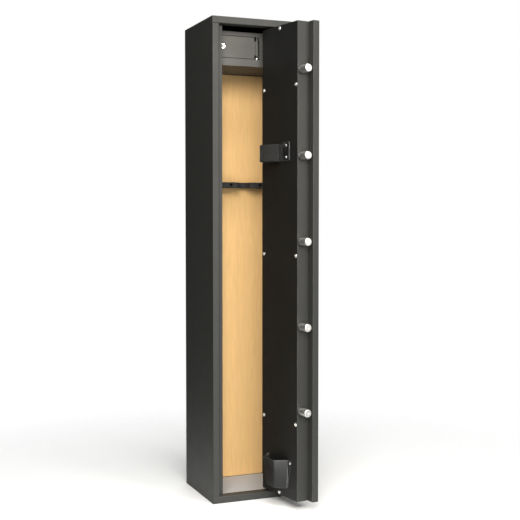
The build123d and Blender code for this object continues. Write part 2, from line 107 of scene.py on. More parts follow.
def shut_solids(node):
    """Box of each separate solid of a door node with the door shut, from the lowest up."""
    bm = bmesh.new()
    bm.from_mesh(frame["nodes"][node].data)
    bmesh.ops.remove_doubles(bm, verts=bm.verts, dist=1e-6)
    bmesh.ops.transform(bm, matrix=door_shut, verts=bm.verts)
    waiting = set(bm.verts)
    boxes = []
    while waiting:
        frontier = [waiting.pop()]
        group = []
        while frontier:
            vert = frontier.pop()
            group.append(vert.co.copy())
            for edge in vert.link_edges:
                other = edge.other_vert(vert)
                if other in waiting:
                    waiting.remove(other)
                    frontier.append(other)
        boxes.append(corners(group))
    bm.free()
    return sorted(boxes, key=lambda box: (round(box[0].z, 4), box[0].x))


def middle(box):
    """Centre of a box."""
    return (box[0] + box[1]) / 2


cover_box = shut_box("inner_cover")
strap_box = shut_box("barrel_strap")
pocket_box = shut_box("muzzle_pocket")
mat_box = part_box("floor_mat")


# ---- settings
class SafeFinishSettings(bpy.types.PropertyGroup):
    """Colours and surface sizes."""

    body_paint: FloatVectorProperty(
        name="Body paint", description="Colour of the cabinet's powder coat",
        subtype="COLOR", size=3, default=(0.0225, 0.0225, 0.0195))
    door_paint: FloatVectorProperty(
        name="Door paint", description="Colour of the door plate and the boltwork casing",
        subtype="COLOR", size=3, default=(0.0225, 0.0225, 0.0200))
    cover_paint: FloatVectorProperty(
        name="Cover paint", description="Colour of the inner cover of the door",
        subtype="COLOR", size=3, default=(0.0042, 0.0042, 0.0034))
    locker_paint: FloatVectorProperty(
        name="Locker paint", description="Colour of the inner locker",
        subtype="COLOR", size=3, default=(0.078, 0.075, 0.068))
    bracket_paint: FloatVectorProperty(
        name="Bracket paint", description="Colour of the muzzle pocket and the clamp plate",
        subtype="COLOR", size=3, default=(0.0045, 0.0045, 0.0040))
    liner_colour: FloatVectorProperty(
        name="Liner board", description="Colour of the board on the back wall",
        subtype="COLOR", size=3, default=(0.86, 0.54, 0.23))
    felt_colour: FloatVectorProperty(
        name="Floor felt", description="Colour of the mat on the floor",
        subtype="COLOR", size=3, default=(0.50, 0.475, 0.45))
    webbing_colour: FloatVectorProperty(
        name="Webbing", description="Colour of the barrel strap",
        subtype="COLOR", size=3, default=(0.012, 0.012, 0.011))
    grain_size: FloatProperty(
        name="Paint grain", description="Size of the bumps in the powder coat",
        default=0.0011, unit="LENGTH")
    grain_depth: FloatProperty(
        name="Grain depth", description="Height of the bumps in the powder coat",
        default=0.00012, unit="LENGTH")
    edge_width: FloatProperty(
        name="Edge softness", description="How far the paint rounds and wears a sharp edge",
        default=0.0012, unit="LENGTH")


class SafeFittingSettings(bpy.types.PropertyGroup):
    """Sizes of the modelled fittings that the frame doesn't give."""

    bolt_chamfer: FloatProperty(
        name="Bolt chamfer", description="Chamfer on the end of each locking bolt",
        default=0.0016, unit="LENGTH")
    bolt_dimple: FloatProperty(
        name="Bolt dimple", description="Radius of the lathe centre in the end of each bolt",
        default=0.0022, unit="LENGTH")
    turning_steps: IntProperty(
        name="Turning steps", description="Faces round each turned piece", default=60)
    tooth_pitch: FloatProperty(
        name="Tooth pitch", description="Distance between the teeth of the clamp plate",
        default=0.0034, unit="LENGTH")
    tooth_depth: FloatProperty(
        name="Tooth depth", description="How far the teeth of the clamp plate are cut",
        default=0.0018, unit="LENGTH")
    pocket_sheet: FloatProperty(
        name="Pocket sheet", description="Thickness of the muzzle pocket's sheet",
        default=0.0015, unit="LENGTH")
    webbing_thickness: FloatProperty(
        name="Webbing thickness", description="Thickness of the barrel strap",
        default=0.0022, unit="LENGTH")
    strap_loop_width: FloatProperty(
        name="Strap loop", description="Half of the width of the strap's loop",
        default=0.033, unit="LENGTH")
    felt_relief: FloatProperty(
        name="Felt relief", description="Height of the unevenness in the floor mat",
        default=0.0006, unit="LENGTH")


class SafeStageSettings(bpy.types.PropertyGroup):
    """Camera and studio lights."""

    camera_place: FloatVectorProperty(
        name="Camera", description="Place of the camera",
        subtype="TRANSLATION", unit="LENGTH", size=3, default=(-1.1591, -3.0141, 0.8945))
    camera_heading: FloatProperty(
        name="Heading", description="How far the camera turns from +Y towards +X",
        subtype="ANGLE", default=radians(22.24))
    camera_pitch: FloatProperty(
        name="Pitch", description="How far the camera looks down",
        subtype="ANGLE", default=radians(2.57))
    lens: FloatProperty(
        name="Lens", description="Focal length on a 36 mm sensor, in millimetres", default=69.07)
    key_power: FloatProperty(
        name="Key light", description="Power of the main soft light", subtype="POWER", default=78.0)
    side_power: FloatProperty(
        name="Side light", description="Power of the soft light on the left",
        subtype="POWER", default=72.0)
    fill_power: FloatProperty(
        name="Fill light", description="Power of the wide soft light on the right",
        subtype="POWER", default=9.5)
    rim_power: FloatProperty(
        name="Rim light", description="Power of the soft light that shines on the front faces",
        subtype="POWER", default=38.0)
    low_power: FloatProperty(
        name="Low light", description="Power of the soft light by the floor in front",
        subtype="POWER", default=17.0)
    top_power: FloatProperty(
        name="Top light", description="Power of the overhead light", subtype="POWER", default=62.0)
    back_power: FloatProperty(
        name="Back light", description="Power of the soft light behind",
        subtype="POWER", default=34.0)
    room_light: FloatProperty(
        name="Room light", description="Strength of the even light from all round", default=0.06)


# ---- shader helpers
def feed(tree, socket, source):
    """Link a socket to another, or give it a plain value; a colour is three numbers."""
    if isinstance(source, bpy.types.NodeSocket):
        tree.links.new(source, socket)
    else:
        socket.default_value = (*source, 1.0) if socket.type == "RGBA" else source


def connect(tree, node, **inputs):
    """Feed a node's inputs; spaces in their names are written as underscores."""
    for name, source in inputs.items():
        feed(tree, node.inputs[name.replace("_", " ")], source)


def add_node(tree, kind, inputs=None, **settings):
    """Add a shader node; inputs hold values, or the sockets that feed them."""
    node = tree.nodes.new("ShaderNode" + kind)
    for name, value in settings.items():
        setattr(node, name, value)
    for key, source in (inputs or {}).items():
        feed(tree, node.inputs[key], source)
    return node


def math_node(tree, operation, first, second=0.0, clamp=False):
    """Result of a sum or function of one or two numbers."""
    inputs = {0: first, 1: second}
    return add_node(tree, "Math", inputs, operation=operation, use_clamp=clamp).outputs[0]


def times(tree, first, second):
    """Product of two numbers."""
    return math_node(tree, "MULTIPLY", first, second)


def spread(tree, value, low, high, new_low=0.0, new_high=1.0):
    """Map a range of a value to another range, with its ends held."""
    inputs = {"Value": value, "From Min": low, "From Max": high,
              "To Min": new_low, "To Max": new_high}
    return add_node(tree, "MapRange", inputs, clamp=True).outputs[0]


def blend(tree, factor, first, second):
    """Mix two colours."""
    return add_node(tree, "Mix", {0: factor, 6: first, 7: second}, data_type="RGBA").outputs[2]


def object_place(tree):
    """The object's own coordinates."""
    return add_node(tree, "TexCoord").outputs["Object"]


def noise_at(tree, place, scale, detail, roughness=0.5):
    """Noise at a place."""
    inputs = {"Vector": place, "Scale": scale, "Detail": detail, "Roughness": roughness}
    return add_node(tree, "TexNoise", inputs).outputs["Fac"]


def object_noise(tree, scale, detail=2.0, roughness=0.5, stretch=(1.0, 1.0, 1.0)):
    """Noise on the object's own coordinates, in bumps per metre."""
    place = add_node(tree, "Mapping", {"Vector": object_place(tree), "Scale": stretch}).outputs[0]
    return noise_at(tree, place, scale, detail, roughness)


def filled_group(name, fill, numbers):
    """Node group that a function fills, with named numbers to set."""
    group = bpy.data.node_groups.new(name, "ShaderNodeTree")
    for label, number in numbers.items():
        socket = group.interface.new_socket(
            name=label.replace("_", " "), in_out="INPUT", socket_type="NodeSocketFloat")
        socket.default_value = number
    made = fill(group, group.nodes.new("NodeGroupInput").outputs)
    for label, socket in made.items():
        kind = "NodeSocketVector" if socket.type == "VECTOR" else "NodeSocketFloat"
        group.interface.new_socket(name=label, in_out="OUTPUT", socket_type=kind)
    result = group.nodes.new("NodeGroupOutput").inputs
    for label, socket in made.items():
        group.links.new(socket, result[label])
    return group


def use_group(tree, fill, **numbers):
    """Place the node group that a function fills, and set its numbers; it is built only once."""
    name = fill.__name__.replace("_", " ").title()
    group = bpy.data.node_groups.get(name) or filled_group(name, fill, numbers)
    node = add_node(tree, "Group", node_tree=group)
    connect(tree, node, **numbers)
    return node.outputs


# ---- shared effects
def powder_grain(tree, source):
    """Fine pebbled surface of a textured powder coat."""
    place = object_place(tree)
    scale = math_node(tree, "DIVIDE", 1.0, source["Grain Size"])
    inputs = {"Vector": place, "Scale": scale}
    pebbles = add_node(tree, "TexVoronoi", inputs, feature="SMOOTH_F1").outputs["Distance"]
    fine = noise_at(tree, place, times(tree, scale, 2.3), 2.0)
    height = math_node(tree, "ADD", times(tree, pebbles, -0.8), fine)
    return {"Height": height, "Speck": spread(tree, fine, 0.52, 0.72)}


def worn_edges(tree, source):
    """Mask of the outer edges, broken up by patches, and the normal of the softened edge; the mask lightens rubbed
    paint, and on the door and bracket paints it paints edge highlights.
    """
    soft = add_node(tree, "Bevel", {"Radius": source["Width"]}, samples=6).outputs[0]
    flat = add_node(tree, "NewGeometry").outputs["True Normal"]
    turn = add_node(tree, "VectorMath", {0: soft, 1: flat}, operation="DOT_PRODUCT")
    edge = spread(tree, turn.outputs["Value"], 0.995, 0.86)
    patches = spread(tree, object_noise(tree, 38.0, 4.0, 0.62), 0.4, 0.66, 0.35)
    return {"Mask": times(tree, times(tree, edge, patches), source["Amount"]), "Normal": soft}


def handling(tree, source):
    """Dust on faces that look up, and broad smudges that change the gloss."""
    normal = add_node(tree, "NewGeometry").outputs["Normal"]
    up = add_node(tree, "SeparateXYZ", {0: normal}).outputs["Z"]
    specks = spread(tree, object_noise(tree, 420.0, 3.0, 0.7), 0.45, 0.75)
    dust = times(tree, times(tree, spread(tree, up, 0.35, 1.0), specks), source["Dust"])
    cloud = spread(tree, object_noise(tree, 9.0, 4.0, 0.6), 0.35, 0.7)
    streaks = object_noise(tree, 26.0, 3.0, 0.55, stretch=(1.0, 1.0, 0.25))
    smudge = times(tree, math_node(tree, "ADD", cloud, streaks), 0.5)
    return {"Dust": dust, "Smudge": smudge}


def turned_rings(tree, source):
    """Fine lathe marks round a turned piece, from its own length attribute."""
    along = add_node(tree, "Attribute", attribute_name="along").outputs["Fac"]
    line = add_node(tree, "CombineXYZ", {0: along}).outputs[0]
    scale = math_node(tree, "DIVIDE", 1.0, source["Pitch"])
    return {"Height": noise_at(tree, line, scale, 3.0)}


def fibres(tree, source):
    """Short tangled fibres with a soft change of tone."""
    scale = math_node(tree, "DIVIDE", 1.0, source["Fibre Length"])
    place = object_place(tree)
    layers = []
    for turn in (0.3, 1.4, 2.5):
        inputs = {"Vector": place, "Rotation": (turn, turn * 0.7, turn), "Scale": (1.0, 7.0, 7.0)}
        lay = add_node(tree, "Mapping", inputs).outputs[0]
        layers.append(noise_at(tree, lay, scale, 2.0))
    highest = math_node(tree, "MAXIMUM", layers[0], layers[1])
    highest = math_node(tree, "MAXIMUM", highest, layers[2])
    return {"Height": highest, "Tone": spread(tree, highest, 0.45, 0.75)}


def plain_weave(tree, source):
    """Over and under of a woven band, from its own map in metres."""
    place = add_node(tree, "UVMap", uv_map="Band").outputs[0]
    axes = add_node(tree, "SeparateXYZ", {0: place}).outputs
    turns = math_node(tree, "DIVIDE", pi, source["Thread"])
    warp = math_node(tree, "SINE", times(tree, axes["Y"], turns))
    weft = math_node(tree, "SINE", times(tree, axes["X"], turns))
    height = spread(tree, math_node(tree, "ABSOLUTE", times(tree, warp, weft)), 0.0, 1.0)
    return {"Height": height, "Gap": spread(tree, height, 0.35, 0.0)}


# ---- finishes
dust_colour = (0.16, 0.155, 0.14)
# Roughness, wear of the edges, dust, and how many times lighter the edges are: rubbed paint on the body, cover and
# locker, and mostly a painted highlight along the edges and folds of the door and bracket paints.
sheet_paints = {
    "body_paint": (0.56, 0.35, 0.35, 3.0),
    # The door paint's high edge lift is a painted highlight along its folds.
    "door_paint": (0.54, 0.9, 0.35, 11.0),
    "cover_paint": (0.55, 0.35, 0.15, 3.0),
    "locker_paint": (0.6, 0.25, 0.25, 3.0),
    # The bracket paint's high edge lift is a painted highlight along the pocket's and clamp plate's edges.
    "bracket_paint": (0.5, 0.95, 0.35, 60.0),
}
# Colour, roughness and tarnish.
metals = {
    "bare_steel": ((0.42, 0.42, 0.41), 0.36, 0.6),
    "chrome_plate": ((0.86, 0.86, 0.84), 0.16, 0.12),
    "zinc_fixings": ((0.93, 0.93, 0.90), 0.4, 0.12),
    "turned_steel": ((0.95, 0.94, 0.90), 0.36, 0.08),
}


def new_surface(name, **plain):
    """Material with one shader; plain holds the values that are the same all over."""
    material = bpy.data.materials.new("finish_" + name)
    material.use_nodes = True
    tree = material.node_tree
    shader = tree.nodes["Principled BSDF"]
    connect(tree, shader, **plain)
    return material, tree, shader


def bump(tree, height, distance, normal=None):
    """Normal of a surface raised by a height, on top of another normal if there is one."""
    inputs = {"Height": height, "Distance": distance}
    if normal is not None:
        inputs["Normal"] = normal
    return add_node(tree, "Bump", inputs).outputs[0]


def scaled(colour, factor):
    """Colour made lighter or darker."""
    return [min(1.0, channel * factor) for channel in colour]


def painted_sheet(name, colour, roughness, wear_and_highlight, dust, wear_and_highlight_lift):
    """Textured powder coat with softened edges painted lighter: lightly rubbed paint, and on the door and bracket
    paints a painted highlight along edges and folds.
    """
    look = bpy.context.scene.safe_finish
    material, tree, shader = new_surface(name, Specular_IOR_Level=0.5)
    grain = use_group(tree, powder_grain, Grain_Size=look.grain_size)
    edges = use_group(tree, worn_edges, Width=look.edge_width, Amount=wear_and_highlight)
    hands = use_group(tree, handling, Dust=dust)
    grey = [sum(colour) / 3] * 3
    tone = blend(tree, grain["Speck"], colour, scaled(colour, 1.45))
    tone = blend(tree, times(tree, hands["Smudge"], 0.35), tone, scaled(colour, 0.7))
    # Edges lightened by the mask: rubbed paint, and on the door and bracket paints a painted highlight along the
    # edges and folds.
    tone = blend(tree, edges["Mask"], tone, scaled(grey, wear_and_highlight_lift))
    tone = blend(tree, hands["Dust"], tone, dust_colour)
    gloss = spread(tree, hands["Smudge"], 0.0, 1.0, roughness - 0.05, roughness + 0.1)
    normal = bump(tree, grain["Height"], look.grain_depth, edges["Normal"])
    connect(tree, shader, Base_Color=tone, Roughness=gloss, Normal=normal)
    return material


def plated_metal(name, colour, roughness, tarnish):
    """Plated or machined metal with turning marks, faint tarnish and rounded edges."""
    material, tree, shader = new_surface(name, Metallic=1.0)
    rings = use_group(tree, turned_rings, Pitch=0.0005)
    edges = use_group(tree, worn_edges, Width=0.0005, Amount=0.2)
    cloud = spread(tree, object_noise(tree, 160.0, 4.0, 0.6), 0.4, 0.75)
    spots = spread(tree, object_noise(tree, 900.0, 2.0, 0.6), 0.6, 0.75)
    marks = times(tree, math_node(tree, "ADD", cloud, spots, clamp=True), tarnish)
    tone = blend(tree, marks, colour, scaled(colour, 0.55))
    gloss = spread(tree, marks, 0.0, 1.0, roughness, min(1.0, roughness + 0.35))
    normal = bump(tree, rings["Height"], 0.00001, edges["Normal"])
    connect(tree, shader, Base_Color=tone, Roughness=gloss, Normal=normal)
    return material


def moulded_bush():
    """Black plastic with faint turning marks."""
    material, tree, shader = new_surface("bush_plastic", Specular_IOR_Level=0.45)
    rings = use_group(tree, turned_rings, Pitch=0.0011)
    fine = object_noise(tree, 1500.0, 2.0)
    black, worn = (0.009, 0.009, 0.009), (0.018, 0.018, 0.017)
    tone = blend(tree, spread(tree, fine, 0.4, 0.7), black, worn)
    normal = bump(tree, math_node(tree, "ADD", rings["Height"], fine), 0.00004)
    gloss = spread(tree, fine, 0.3, 0.7, 0.34, 0.52)
    connect(tree, shader, Base_Color=tone, Roughness=gloss, Normal=normal)
    return material


def liner_board():
    """Pressed board with a faint upright grain, flecks and broad changes of tone."""
    colour = bpy.context.scene.safe_finish.liner_colour
    material, tree, shader = new_surface("liner_board", Specular_IOR_Level=0.15)
    tangle = use_group(tree, fibres, Fibre_Length=0.006)
    grain = object_noise(tree, 160.0, 4.0, 0.6, stretch=(1.0, 1.0, 0.08))
    broad = object_noise(tree, 5.0, 2.0, 0.5, stretch=(1.0, 1.0, 0.4))
    flecks = spread(tree, object_noise(tree, 700.0, 2.0, 0.6), 0.66, 0.76)
    edges = use_group(tree, worn_edges, Width=0.001, Amount=0.5)
    tone = blend(tree, spread(tree, grain, 0.35, 0.7), scaled(colour, 0.93), scaled(colour, 1.05))
    for mask, factor in ((times(tree, tangle["Tone"], 0.25), 0.86),
                         (spread(tree, broad, 0.4, 0.65, 0.0, 0.22), 0.88),
                         (times(tree, flecks, 0.25), 0.55)):
        tone = blend(tree, mask, tone, scaled(colour, factor))
    height = math_node(tree, "ADD", tangle["Height"], grain)
    normal = bump(tree, height, 0.00006, edges["Normal"])
    gloss = spread(tree, grain, 0.3, 0.7, 0.62, 0.78)
    connect(tree, shader, Base_Color=tone, Roughness=gloss, Normal=normal)
    return material


def floor_felt():
    """Needled felt with loose fibres, darker flecks and trodden patches."""
    colour = bpy.context.scene.safe_finish.felt_colour
    material, tree, shader = new_surface(
        "floor_felt", Specular_IOR_Level=0.15, Sheen_Weight=0.35, Sheen_Roughness=0.5)
    tangle = use_group(tree, fibres, Fibre_Length=0.0045)
    tufts = object_noise(tree, 260.0, 4.0, 0.65)
    trodden = object_noise(tree, 14.0, 3.0, 0.5)
    tone = blend(tree, tangle["Tone"], scaled(colour, 0.62), scaled(colour, 1.12))
    tone = blend(tree, spread(tree, tufts, 0.55, 0.75, 0.0, 0.6), tone, scaled(colour, 0.45))
    tone = blend(tree, spread(tree, trodden, 0.45, 0.65, 0.0, 0.3), tone, scaled(colour, 0.8))
    normal = bump(tree, math_node(tree, "ADD", tangle["Height"], tufts), 0.0007)
    gloss = spread(tree, tufts, 0.3, 0.7, 0.86, 0.98)
    connect(tree, shader, Base_Color=tone, Roughness=gloss, Normal=normal)
    return material


def rack_foam():
    """Dense closed-cell foam with its skin and open pores."""
    material, tree, shader = new_surface("rack_foam", Specular_IOR_Level=0.25)
    inputs = {"Vector": object_place(tree), "Scale": 900.0}
    cells = add_node(tree, "TexVoronoi", inputs).outputs["Distance"]
    edges = use_group(tree, worn_edges, Width=0.0016, Amount=0.6)
    hands = use_group(tree, handling, Dust=0.5)
    pore, skin, rubbed = (0.012, 0.012, 0.012), (0.034, 0.034, 0.033), (0.07, 0.068, 0.062)
    tone = blend(tree, spread(tree, cells, 0.1, 0.6), pore, skin)
    tone = blend(tree, edges["Mask"], tone, rubbed)
    tone = blend(tree, hands["Dust"], tone, dust_colour)
    normal = bump(tree, cells, 0.00025, edges["Normal"])
    gloss = spread(tree, cells, 0.0, 0.7, 0.95, 0.72)
    connect(tree, shader, Base_Color=tone, Roughness=gloss, Normal=normal)
    return material


def woven_band():
    """Woven webbing with a soft nap and fluffed threads."""
    colour = bpy.context.scene.safe_finish.webbing_colour
    material, tree, shader = new_surface(
        "webbing", Specular_IOR_Level=0.2, Sheen_Weight=0.08, Sheen_Roughness=0.4)
    weave = use_group(tree, plain_weave, Thread=0.0013)
    fluff = object_noise(tree, 1400.0, 3.0, 0.7)
    worn = object_noise(tree, 60.0, 3.0, 0.6)
    tone = blend(tree, weave["Gap"], scaled(colour, 1.25), scaled(colour, 0.3))
    tone = blend(tree, spread(tree, fluff, 0.5, 0.75, 0.0, 0.5), tone, scaled(colour, 2.4))
    tone = blend(tree, spread(tree, worn, 0.5, 0.7, 0.0, 0.35), tone, scaled(colour, 1.8))
    height = math_node(tree, "ADD", weave["Height"], times(tree, fluff, 0.6))
    gloss = spread(tree, fluff, 0.3, 0.7, 0.7, 0.92)
    connect(tree, shader, Base_Color=tone, Roughness=gloss, Normal=bump(tree, height, 0.0004))
    return material


def sewing_thread():
    """Twisted grey thread."""
    material, tree, shader = new_surface("sewing_thread", Specular_IOR_Level=0.4)
    twist = object_noise(tree, 3000.0, 2.0, 0.6, stretch=(1.0, 1.0, 3.0))
    dark, light = (0.05, 0.05, 0.048), (0.12, 0.118, 0.11)
    tone = blend(tree, spread(tree, twist, 0.4, 0.7), dark, light)
    gloss = spread(tree, twist, 0.3, 0.7, 0.5, 0.8)
    connect(tree, shader, Base_Color=tone, Roughness=gloss, Normal=bump(tree, twist, 0.0002))
    return material


def finish(name):
    """Material of a finish, built the first time that it is asked for."""
    made = bpy.data.materials.get("finish_" + name)
    if made:
        return made
    if name in sheet_paints:
        colour = getattr(bpy.context.scene.safe_finish, name)
        return painted_sheet(name, colour, *sheet_paints[name])
    if name in metals:
        return plated_metal(name, *metals[name])
    makers = {"bush_plastic": moulded_bush, "liner_board": liner_board, "floor_felt": floor_felt,
              "rack_foam": rack_foam, "webbing": woven_band, "sewing_thread": sewing_thread}
    return makers[name]()


# ---- shaping helpers
def facing(point, direction):
    """Place that turns +Z to a direction and moves the origin to a point."""
    turn = Vector(direction).to_track_quat("Z", "Y").to_matrix().to_4x4()
    return Matrix.Translation(point) @ turn


def measured_line(bm, points, label):
    """Edges through a line of points, with a layer that holds how far along it each point is."""
    layer = bm.verts.layers.float.new(label)
    verts = [bm.verts.new(point) for point in points]
    travelled = 0.0
    for before, vert in zip([verts[0]] + verts, verts):
        travelled += (vert.co - before.co).length
        vert[layer] = travelled
    return verts, [bm.edges.new(pair) for pair in zip(verts, verts[1:])], travelled


def turned(profile, ring=False):
    """Solid turned about Z from (radius, height) points; a ring's outline closes on itself."""
    bm = bmesh.new()
    points = [(radius, 0.0, height) for radius, height in profile]
    verts, edges, _ = measured_line(bm, points, "along")
    if ring:
        edges.append(bm.edges.new((verts[-1], verts[0])))
    bmesh.ops.spin(bm, geom=verts + edges, cent=(0, 0, 0), axis=(0, 0, 1), angle=2 * pi,
                   steps=bpy.context.scene.safe_fittings.turning_steps, use_merge=True)
    bmesh.ops.remove_doubles(bm, verts=bm.verts, dist=1e-6)
    return bm


def placed(bm, matrix):
    """Shape moved by a matrix."""
    bmesh.ops.transform(bm, matrix=matrix, verts=bm.verts)
    return bm


def points_of(geometry):
    """Points among the results of a mesh operator."""
    return [item for item in geometry if isinstance(item, bmesh.types.BMVert)]


def rounded(bm, geometry, width, segments, affect="EDGES"):
    """Round some edges, or some corners with affect set to VERTICES."""
    bmesh.ops.bevel(bm, geom=geometry, offset=width, offset_type="OFFSET", segments=segments,
                    profile=0.5, affect=affect, clamp_overlap=True, material=-1)


def soften(bm, width, segments=2):
    """Round the edges where two faces meet at a clear angle."""
    clear_angle = radians(35)
    rounded(bm, [edge for edge in bm.edges
                 if edge.is_manifold and edge.calc_face_angle(0.0) > clear_angle], width, segments)


def joined(meshes):
    """Put several shapes in one, freeing them."""
    whole = bmesh.new()
    for bm in meshes:
        carrier = bpy.data.meshes.new("carrier")
        bm.to_mesh(carrier)
        bm.free()
        whole.from_mesh(carrier)
        bpy.data.meshes.remove(carrier)
    return whole


def linked(name, data):
    """Object in the scene with its data."""
    item = bpy.data.objects.new(name, data)
    bpy.context.scene.collection.objects.link(item)
    return item


def finished(bm, name, slot, body, place=None, stands_for=(), surface=None):
    """Make a shape a piece of the safe: in place, smooth, painted and riding on its body."""
    sharp_angle = radians(38)
    bmesh.ops.remove_doubles(bm, verts=bm.verts, dist=1e-7)
    bmesh.ops.recalc_face_normals(bm, faces=bm.faces)
    if place is not None:
        placed(bm, place)
    mesh = bpy.data.meshes.new(name)
    bm.to_mesh(mesh)
    bm.free()
    mesh.shade_smooth()
    mesh.set_sharp_from_angle(angle=sharp_angle)
    mesh.materials.append(finish(surface or slot))
    piece = linked(name, mesh)
    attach(piece, body)
    if stands_for:
        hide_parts(*stands_for)
    return piece


def modify(piece, kind, **settings):
    """Add a live modifier to a piece."""
    modifier = piece.modifiers.new(kind.title(), kind)
    for name, value in settings.items():
        setattr(modifier, name, value)


def thicken(piece, thickness, rounding, sharper_than):
    """Give a sheet its thickness, and round its edges that are sharper than some degrees."""
    modify(piece, "SOLIDIFY", thickness=thickness, offset=0.0)
    modify(piece, "BEVEL", width=rounding, segments=2, limit_method="ANGLE",
           angle_limit=radians(sharper_than))


def prism(outline, depth, base):
    """Solid of an outline in the XZ plane, pushed out along +Y from a base."""
    bm = bmesh.new()
    face = bm.faces.new([bm.verts.new((x, 0.0, z)) for x, z in outline])
    made = bmesh.ops.extrude_face_region(bm, geom=[face])["geom"]
    bmesh.ops.translate(bm, vec=(0.0, depth, 0.0), verts=points_of(made))
    bmesh.ops.translate(bm, vec=(0.0, base, 0.0), verts=bm.verts)
    return bm


def ribbon(path, width, rows):
    """Upright band along a line of points, mapped in metres along and across it."""
    bm = bmesh.new()
    _, edges, length = measured_line(bm, path, "run")
    for _ in range(rows):
        made = bmesh.ops.extrude_edge_only(bm, edges=edges)["geom"]
        fresh = points_of(made)
        bmesh.ops.translate(bm, vec=(0.0, 0.0, width / rows), verts=fresh)
        edges = [item for item in made if isinstance(item, bmesh.types.BMEdge)
                 and item.verts[0] in fresh and item.verts[1] in fresh]
    run = bm.verts.layers.float["run"]
    band = bm.loops.layers.uv.new("Band")
    for face in bm.faces:
        for loop in face.loops:
            loop[band].uv = (loop.vert[run], loop.vert.co.z)
    return bm, length


# ---- metal fittings
def make_locking_bolts():
    """Turned bolts with a chamfered nose and the lathe's centre mark."""
    size = bpy.context.scene.safe_fittings
    edge_rounding = 0.0003
    for node in bolt_nodes:
        low, high = shut_box(node)
        centre = middle((low, high))
        radius, length = (high.z - low.z) / 2, high.x - low.x
        bm = turned([(0.0, 0.0), (radius, 0.0), (radius, length - size.bolt_chamfer),
                     (radius - size.bolt_chamfer, length), (size.bolt_dimple, length),
                     (0.0, length - size.bolt_dimple)])
        soften(bm, edge_rounding)
        place = door_open @ facing((high.x, centre.y, centre.z), (-1, 0, 0))
        finished(bm, "turned_" + node, "chrome_plate", "boltwork", place, [node], "turned_steel")


def make_guide_bushes():
    """Flanged bushes round the bolts, with the flat that clears the casing's flange."""
    casing_end = shut_box("boltwork_casing")[0].x
    clearance, wall, mouth, corner = 0.00006, 0.0016, 0.0009, 0.0006
    flat, flat_from = cover_box[0].y - 0.0021, casing_end + 0.001
    shapes = []
    for (low, high), node in zip(shut_solids("bolt_guide_bushes"), bolt_nodes):
        bolt = shut_box(node)
        centre = middle(bolt)
        bore = (bolt[1].z - bolt[0].z) / 2 + clearance
        flange, length = (high.z - low.z) / 2, high.x - low.x
        barrel, shoulder = flange - wall, length - (casing_end - low.x)
        profile = [(bore, 0.0), (barrel, 0.0), (barrel, shoulder), (flange, shoulder),
                   (flange, length - corner), (flange - corner, length), (bore + mouth, length),
                   (bore, length - mouth)]
        place = facing((high.x, centre.y, centre.z), (-1, 0, 0))
        bm = placed(turned(profile, ring=True), place)
        for vert in bm.verts:
            if vert.co.x > flat_from:
                vert.co.y = min(vert.co.y, flat)
        shapes.append(bm)
    finished(joined(shapes), "moulded_guide_bushes", "bush_plastic", "door", door_open,
             ["bolt_guide_bushes"])


def to_hexagon(bm, inner, outer):
    """Pull the points between two radii onto a hexagon round the Z axis."""
    for vert in bm.verts:
        if inner < vert.co.xy.length < outer:
            side = (vert.co.xy.angle_signed(Vector((1.0, 0.0))) + 2 * pi) % (pi / 3) - pi / 6
            stretch = cos(pi / 6) / cos(side)
            vert.co.x *= stretch
            vert.co.y *= stretch


def domed_head(radius, height, socket):
    """Screw head with a hexagon socket, or a plain rivet head where socket is 0."""
    brim = height * 0.28
    dome = [(radius * cos(radians(angle)), brim + (height - brim) * sin(radians(angle)))
            for angle in (0, 18, 36, 54, 66)]
    profile = [(0.0, 0.0), (radius, 0.0)] + dome
    if socket:
        profile += [(socket, height), (socket * 0.98, height * 0.35), (0.0, height * 0.22)]
    else:
        profile += [(radius * 0.2, height), (0.0, height)]
    bm = turned(profile)
    if socket:
        to_hexagon(bm, 0.9 * socket, 1.02 * socket)
    return bm


def make_fixings():
    """Heads of the cover screws and of the rivets on the door."""
    for node, socket, name in (("cover_screws", 0.45, "cover_screw_heads"),
                               ("strap_rivets", 0.0, "strap_rivet_heads"),
                               ("pocket_rivets", 0.0, "pocket_rivet_heads")):
        shapes = []
        for low, high in shut_solids(node):
            centre = middle((low, high))
            radius = (high.x - low.x) / 2
            head = domed_head(radius, high.y - low.y, radius * socket)
            shapes.append(placed(head, facing((centre.x, low.y, centre.z), (0, 1, 0))))
        finished(joined(shapes), name, "zinc_fixings", "door", door_open, [node])


def make_spring_clip():
    """Toothed strip of bare spring steel along the clamp plate's free edge; its bare steel, lighter than the
    plate's paint, stands in for the highlight along the plate's toothed edge.
    """
    size = bpy.context.scene.safe_fittings
    low, high = shut_box("strap_bracket")
    margin, inset, thickness, sunk = 0.0025, 0.0012, 0.0007, 0.0001
    span, reach = high.z - low.z - 2 * margin, 2.2 * size.tooth_depth
    teeth = round(span / (2.0 * size.tooth_pitch))
    pitch = span / teeth
    left = low.x + inset
    outline = [(left, low.z + margin), (left, high.z - margin)]
    for tooth in reversed(range(teeth)):
        root = low.z + margin + tooth * pitch
        outline += [(left + reach, root + pitch * 0.8), (left + reach * 0.35, root)]
    bm = prism(outline, thickness, high.y - sunk)
    soften(bm, 0.00018, segments=1)
    # The strip's light bare steel is a painted highlight for the bright line along the clamp plate's teeth.
    finished(bm, "toothed_spring_clip", "bare_steel", "door", door_open)


